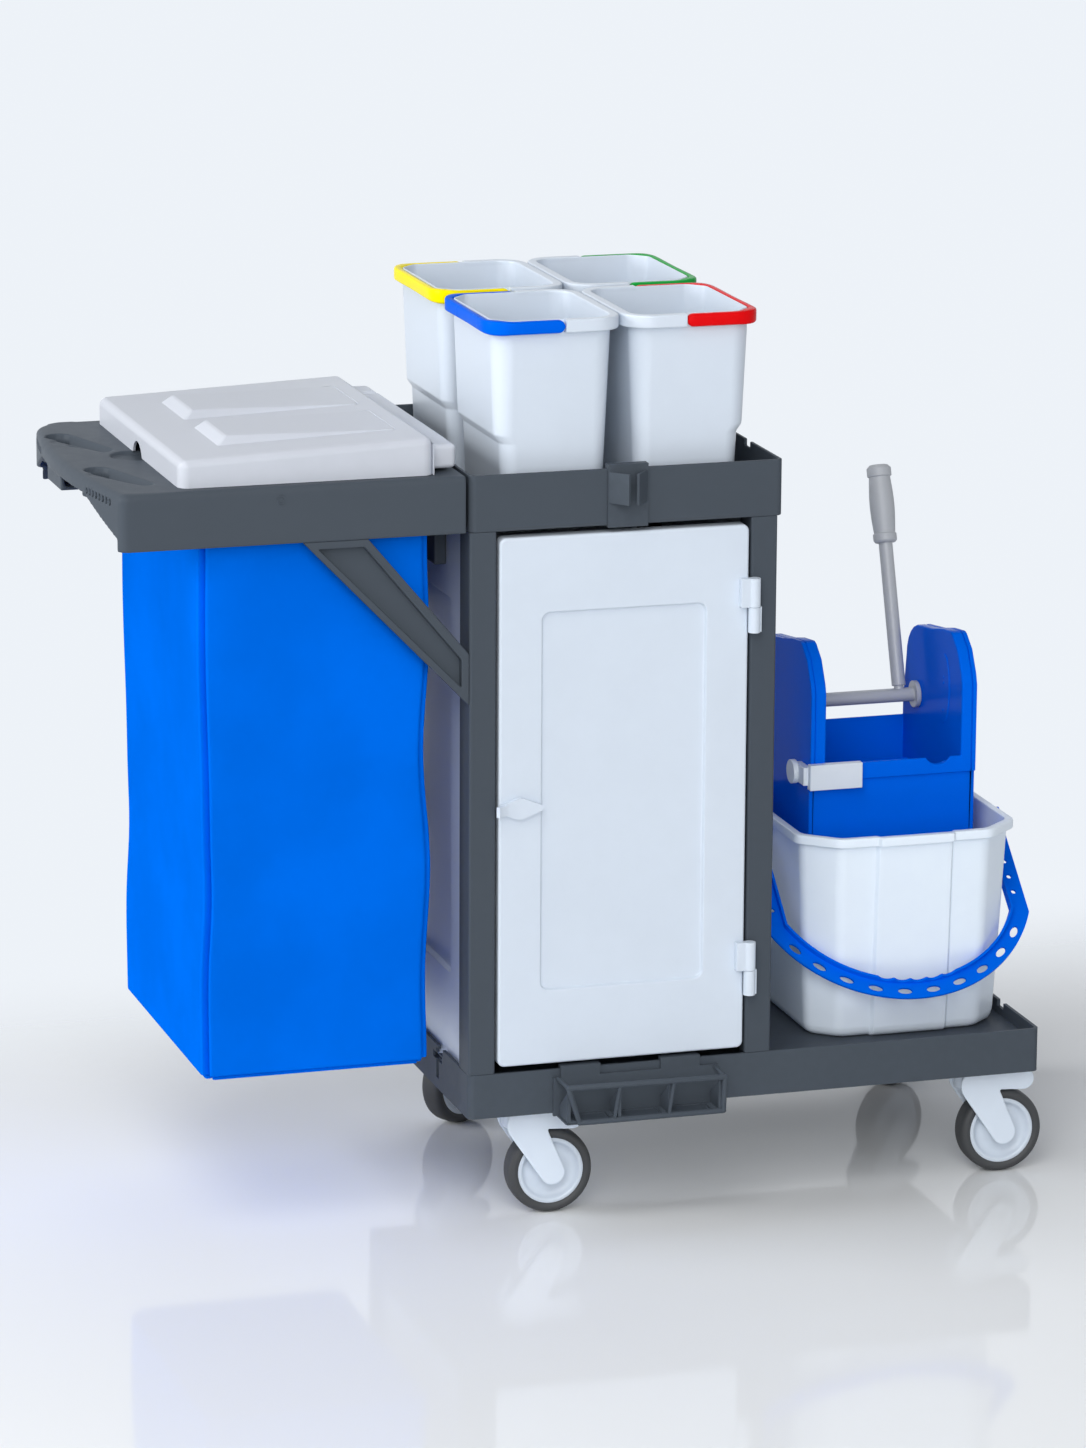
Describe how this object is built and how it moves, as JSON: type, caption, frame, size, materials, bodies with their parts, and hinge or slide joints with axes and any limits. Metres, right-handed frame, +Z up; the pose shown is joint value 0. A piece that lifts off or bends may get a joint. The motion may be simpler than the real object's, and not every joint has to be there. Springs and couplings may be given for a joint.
{
  "type": "janitor cart",
  "caption": "Wheeled cleaning cart with a locking cabinet, colour-coded bins, a lidded waste bag on a push-handle frame, and a mop bucket with a lever wringer.",
  "frame": {"origin": "middle of the bounding box, on the floor", "axes": "+X along the base from the waste bag to the mop bucket, +Y from the door to the back, +Z up"},
  "size_m": [1.164, 0.501, 1.0713],
  "materials": {
    "frame_plastic": "satin moulded",
    "white_plastic": "smooth moulded",
    "lid_plastic": "satin moulded",
    "bag_fabric": "coated fabric, slight sheen",
    "wringer_plastic": "glossy moulded",
    "grip_plastic": "satin moulded",
    "clip_plastic": "satin moulded",
    "blue_plastic": "smooth moulded",
    "yellow_plastic": "smooth moulded",
    "red_plastic": "smooth moulded",
    "green_plastic": "smooth moulded",
    "tyre_rubber": "matt",
    "steel": "plain",
    "lever_metal": "satin grey coat"
  },
  "bodies": {
    "cart": {"base_tray": "frame_plastic", "post_front_left": "frame_plastic", "post_front_right": "frame_plastic", "post_back_left": "frame_plastic", "post_back_right": "frame_plastic", "side_panel_left": "white_plastic", "side_panel_right": "white_plastic", "back_panel": "white_plastic", "cabinet_shelf": "white_plastic", "top_tray": "frame_plastic", "bag_frame": "frame_plastic", "brace_front": "frame_plastic", "brace_back": "frame_plastic", "waste_bag": "bag_fabric", "tool_clip": "frame_plastic", "mop_rack": "frame_plastic", "hinge_leaves": "white_plastic", "caster_stems": "steel", "lid_pin": "steel"},
    "door": {"door_panel": "white_plastic", "hinge_knuckles": "white_plastic"},
    "latch": {"latch_handle": "white_plastic", "latch_cam": "steel"},
    "lid": {"bag_lid": "lid_plastic"},
    "bucket": {"bucket": "white_plastic"},
    "bucket_bail": {"bucket_bail": "wringer_plastic"},
    "wringer": {"wringer_body": "wringer_plastic", "wringer_covers": "wringer_plastic", "wringer_clip": "clip_plastic"},
    "lever": {"lever_axle": "lever_metal", "lever_tube": "lever_metal", "lever_grip": "grip_plastic", "lever_cranks": "steel"},
    "links": {"press_links": "steel"},
    "press": {"press_plate": "wringer_plastic"},
    "bin_front_left": {"bin_front_left": "white_plastic"},
    "bin_bail_front_left": {"bail_front_left": "blue_plastic"},
    "swivel_front_left": {"fork_front_left": "white_plastic", "axle_front_left": "steel"},
    "wheel_front_left": {"wheel_front_left": "white_plastic", "tyre_front_left": "tyre_rubber"},
    "bin_front_right": {"bin_front_right": "white_plastic"},
    "bin_bail_front_right": {"bail_front_right": "red_plastic"},
    "swivel_front_right": {"fork_front_right": "white_plastic", "axle_front_right": "steel"},
    "wheel_front_right": {"wheel_front_right": "white_plastic", "tyre_front_right": "tyre_rubber"},
    "bin_back_left": {"bin_back_left": "white_plastic"},
    "bin_bail_back_left": {"bail_back_left": "yellow_plastic"},
    "swivel_back_left": {"fork_back_left": "white_plastic", "axle_back_left": "steel"},
    "wheel_back_left": {"wheel_back_left": "white_plastic", "tyre_back_left": "tyre_rubber"},
    "bin_back_right": {"bin_back_right": "white_plastic"},
    "bin_bail_back_right": {"bail_back_right": "green_plastic"},
    "swivel_back_right": {"fork_back_right": "white_plastic", "axle_back_right": "steel"},
    "wheel_back_right": {"wheel_back_right": "white_plastic", "tyre_back_right": "tyre_rubber"}
  },
  "joints": [
    {"name": "swivel_front_left", "type": "hinge", "parent": "cart", "child": "swivel_front_left", "pos_m": [-0.074, -0.15049, 0.1267], "axis": [0, 0, 1], "continuous": true},
    {"name": "roll_front_left", "type": "hinge", "parent": "swivel_front_left", "child": "wheel_front_left", "pos_m": [-0.04, -0.15049, 0.0515], "axis": [0, 1, 0], "continuous": true},
    {"name": "swivel_front_right", "type": "hinge", "parent": "cart", "child": "swivel_front_right", "pos_m": [0.493, -0.15049, 0.1267], "axis": [0, 0, 1], "continuous": true},
    {"name": "roll_front_right", "type": "hinge", "parent": "swivel_front_right", "child": "wheel_front_right", "pos_m": [0.527, -0.15049, 0.0515], "axis": [0, 1, 0], "continuous": true},
    {"name": "swivel_back_left", "type": "hinge", "parent": "cart", "child": "swivel_back_left", "pos_m": [-0.074, 0.19551, 0.1267], "axis": [0, 0, 1], "continuous": true},
    {"name": "roll_back_left", "type": "hinge", "parent": "swivel_back_left", "child": "wheel_back_left", "pos_m": [-0.04455, 0.21251, 0.0515], "axis": [-0.5, 0.866, 0], "continuous": true},
    {"name": "swivel_back_right", "type": "hinge", "parent": "cart", "child": "swivel_back_right", "pos_m": [0.493, 0.19551, 0.1267], "axis": [0, 0, 1], "continuous": true},
    {"name": "roll_back_right", "type": "hinge", "parent": "swivel_back_right", "child": "wheel_back_right", "pos_m": [0.52245, 0.21251, 0.0515], "axis": [-0.5, 0.866, 0], "continuous": true},
    {"name": "door_hinge", "type": "hinge", "parent": "cart", "child": "door", "pos_m": [0.1855, -0.21649, 0.5115], "axis": [0, 0, 1], "range_deg": [0, 170]},
    {"name": "latch_turn", "type": "hinge", "parent": "door", "child": "latch", "pos_m": [-0.095, -0.20849, 0.508], "axis": [0, 1, 0], "range_deg": [-90, 0]},
    {"name": "lid_hinge", "type": "hinge", "parent": "cart", "child": "lid", "pos_m": [-0.168, 0.01151, 0.911], "axis": [0, 1, 0], "range_deg": [0, 85]},
    {"name": "lift_bin_front_left", "type": "slide", "parent": "cart", "child": "bin_front_left", "axis": [0, 0, 1], "range_m": [0, 0.25]},
    {"name": "swing_bail_front_left", "type": "hinge", "parent": "bin_front_left", "child": "bin_bail_front_left", "pos_m": [-0.0468, -0.09749, 1.0638], "axis": [0, 1, 0], "range_deg": [0, 90]},
    {"name": "lift_bin_front_right", "type": "slide", "parent": "cart", "child": "bin_front_right", "axis": [0, 0, 1], "range_m": [0, 0.25]},
    {"name": "swing_bail_front_right", "type": "hinge", "parent": "bin_front_right", "child": "bin_bail_front_right", "pos_m": [0.1142, -0.09749, 1.0638], "axis": [0, -1, 0], "range_deg": [0, 90]},
    {"name": "lift_bin_back_left", "type": "slide", "parent": "cart", "child": "bin_back_left", "axis": [0, 0, 1], "range_m": [0, 0.25]},
    {"name": "swing_bail_back_left", "type": "hinge", "parent": "bin_back_left", "child": "bin_bail_back_left", "pos_m": [-0.0468, 0.12051, 1.0638], "axis": [0, 1, 0], "range_deg": [0, 90]},
    {"name": "lift_bin_back_right", "type": "slide", "parent": "cart", "child": "bin_back_right", "axis": [0, 0, 1], "range_m": [0, 0.25]},
    {"name": "swing_bail_back_right", "type": "hinge", "parent": "bin_back_right", "child": "bin_bail_back_right", "pos_m": [0.1142, 0.12051, 1.0638], "axis": [0, -1, 0], "range_deg": [0, 90]},
    {"name": "lift_bucket", "type": "slide", "parent": "cart", "child": "bucket", "axis": [0, 0, 1], "range_m": [0, 0.3]},
    {"name": "swing_bucket_bail", "type": "hinge", "parent": "bucket", "child": "bucket_bail", "pos_m": [0.416, 0.01151, 0.3993], "axis": [-1, 0, 0], "range_deg": [0, 85]},
    {"name": "lift_wringer", "type": "slide", "parent": "bucket", "child": "wringer", "axis": [0, 0, 1], "range_m": [0, 0.3]},
    {"name": "lever_swing", "type": "hinge", "parent": "wringer", "child": "lever", "pos_m": [0.416, 0.08651, 0.5353], "axis": [1, 0, 0], "range_deg": [0, 60]},
    {"name": "link_turn", "type": "hinge", "parent": "lever", "child": "links", "pos_m": [0.416, 0.07383, 0.56249], "axis": [1, 0, 0], "range_deg": [-60, 0]},
    {"name": "press_swing", "type": "hinge", "parent": "wringer", "child": "press", "pos_m": [0.416, 0.11551, 0.3013], "axis": [1, 0, 0], "range_deg": [0, 60]}
  ],
  "couplings": [
    {"joint": "link_turn", "follows": "lever_swing", "ratio": -1},
    {"joint": "press_swing", "follows": "lever_swing", "ratio": 1}
  ]
}
